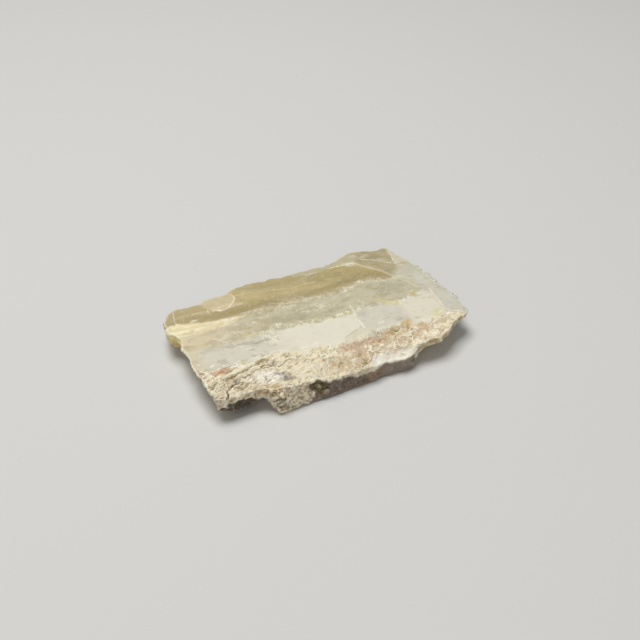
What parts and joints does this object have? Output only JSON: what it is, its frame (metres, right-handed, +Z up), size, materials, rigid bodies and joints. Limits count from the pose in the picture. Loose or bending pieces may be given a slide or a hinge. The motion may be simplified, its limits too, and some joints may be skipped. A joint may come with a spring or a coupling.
{
  "type": "hokkaidoite slice",
  "caption": "Sawn slice of banded milky and brown opal with a rough crust along one edge, lying on its flat sawn underside; a mineral specimen for display.",
  "frame": {"origin": "the middle of the slice's footprint, at the height of the flat sawn underside", "axes": "+X along the bands, towards the greenish glassy end; +Y away from the crust; +Z up, out of the sawn top"},
  "size_m": [0.0546, 0.033, 0.0061],
  "materials": {
    "opal": "sawn and semi-matte on top, glassy where broken, rough and chalky on the crust"
  },
  "bodies": {
    "root": {"opal_slice": "opal"}
  },
  "joints": []
}
